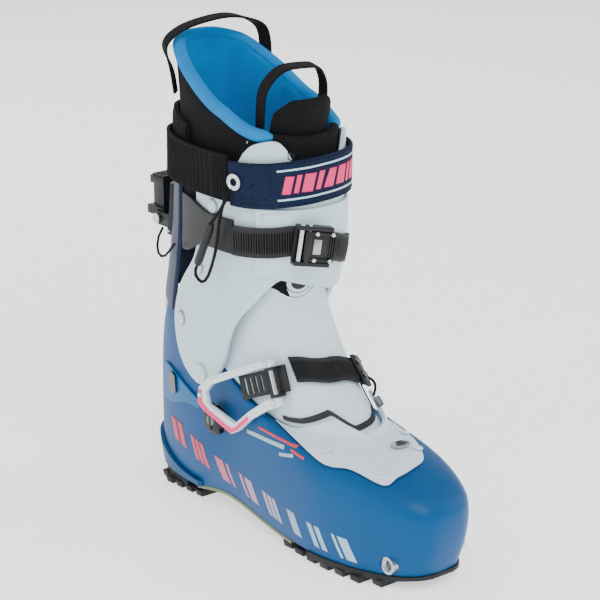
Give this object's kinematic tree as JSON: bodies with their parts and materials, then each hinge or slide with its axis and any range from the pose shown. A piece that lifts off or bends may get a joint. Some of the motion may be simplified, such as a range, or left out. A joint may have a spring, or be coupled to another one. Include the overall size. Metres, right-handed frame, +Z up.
{
  "type": "alpine touring boot",
  "caption": "Right-foot alpine touring boot: moulded lower shell with pin sockets, pivoting cuff with liner, straps, two buckles and a rear walk lever.",
  "frame": {"origin": "on the ground plane under the mid-sole mark", "axes": "+Z up, -Y toward the toe, -X toward the wearer's outer side (right foot)"},
  "size_m": [0.1148, 0.324, 0.3694],
  "materials": {
    "shell_blue": "satin moulded polyamide",
    "rubber_black": "matte",
    "cuff_white": "satin moulded",
    "trim_black": "matte moulded",
    "steel": "fine brushed",
    "alu_white": "powder coated",
    "pink": "gloss coat",
    "navy_web": "woven webbing",
    "black_fabric": "woven",
    "liner_blue": "brushed knit",
    "gaiter_white": "coated fabric",
    "spine_navy": "satin",
    "insert_yellow": "matte",
    "foam_grey": "foam"
  },
  "bodies": {
    "shell": {"lower_shell": "shell_blue", "heel_cap": "shell_blue", "outsole_front": "rubber_black", "outsole_heel": "rubber_black", "arch_insert": "insert_yellow", "toe_inserts": "steel", "heel_insert": "steel", "heel_screw": "steel", "instep_plate": "cuff_white", "plate_rivets": "cuff_white", "plate_badge": "steel", "gaiter": "gaiter_white", "gaiter_welt": "trim_black", "pivot_pins": "steel", "ankle_shields": "shell_blue", "ankle_lenses": "trim_black", "boot_board": "trim_black", "footbed": "foam_grey", "liner_foot": "black_fabric", "lower_strap": "trim_black", "strap_clamp": "trim_black", "clamp_bolts": "steel", "instep_cable": "trim_black", "cable_ferrule": "trim_black", "buckle_base": "trim_black", "lever_pin": "steel", "knob_post": "steel", "spine_catch": "steel"},
    "lower_buckle_lever": {"lower_lever": "alu_white", "lever_grip": "pink"},
    "knob": {"tension_knob": "trim_black"},
    "cuff": {"cuff_shell": "cuff_white", "cuff_flap": "cuff_white", "rear_spine": "spine_navy", "rear_pad": "black_fabric", "cuff_rivets": "cuff_white", "liner_cuff": "liner_blue", "liner_tongue": "black_fabric", "rear_loop": "black_fabric", "front_loop": "black_fabric", "power_strap": "navy_web", "strap_elastic": "black_fabric", "strap_eyelet": "steel", "strap_cord": "black_fabric", "cord_toggle": "trim_black", "strap_bracket": "trim_black", "ladder_strap": "trim_black", "upper_buckle": "trim_black", "latch_pin": "steel", "roller_pin": "steel", "lever_housing": "trim_black", "lever_hinge_pin": "steel", "bar_pin": "steel", "bar_bracket": "trim_black", "lever_cable": "trim_black"},
    "latch": {"upper_latch": "trim_black"},
    "walk_lever": {"lock_lever": "trim_black"},
    "lock_link": {"lock_bar": "alu_white"}
  },
  "joints": [
    {"name": "cuff_pivot", "type": "hinge", "parent": "shell", "child": "cuff", "pos_m": [0, 0.066, 0.11], "axis": [1, 0, 0], "range_deg": [-25, 17]},
    {"name": "lower_buckle_hinge", "type": "hinge", "parent": "shell", "child": "lower_buckle_lever", "pos_m": [-0.039, -0.0115, 0.124], "axis": [0.0375, 0.3965, 0.9173], "range_deg": [0, 110]},
    {"name": "knob_turn", "type": "hinge", "parent": "shell", "child": "knob", "pos_m": [-0.047, 0.048, 0.079], "axis": [-1, 0, 0], "continuous": true},
    {"name": "latch_hinge", "type": "hinge", "parent": "cuff", "child": "latch", "pos_m": [-0.021, -0.02843, 0.22588], "axis": [-0.1543, 0.0381, -0.9873], "range_deg": [0, 25], "stiffness_Nm_per_rad": 0.03, "springref_deg": -8.59},
    {"name": "walk_lever_hinge", "type": "hinge", "parent": "cuff", "child": "walk_lever", "pos_m": [-0.008, 0.149, 0.208], "axis": [-1, 0, 0], "range_deg": [0, 90]},
    {"name": "lock_link_hinge", "type": "hinge", "parent": "cuff", "child": "lock_link", "pos_m": [-0.008, 0.1418, 0.198], "axis": [1, 0, 0], "range_deg": [0, 9]}
  ],
  "couplings": [
    {"joint": "lock_link_hinge", "follows": "walk_lever_hinge", "ratio": 0.1}
  ]
}
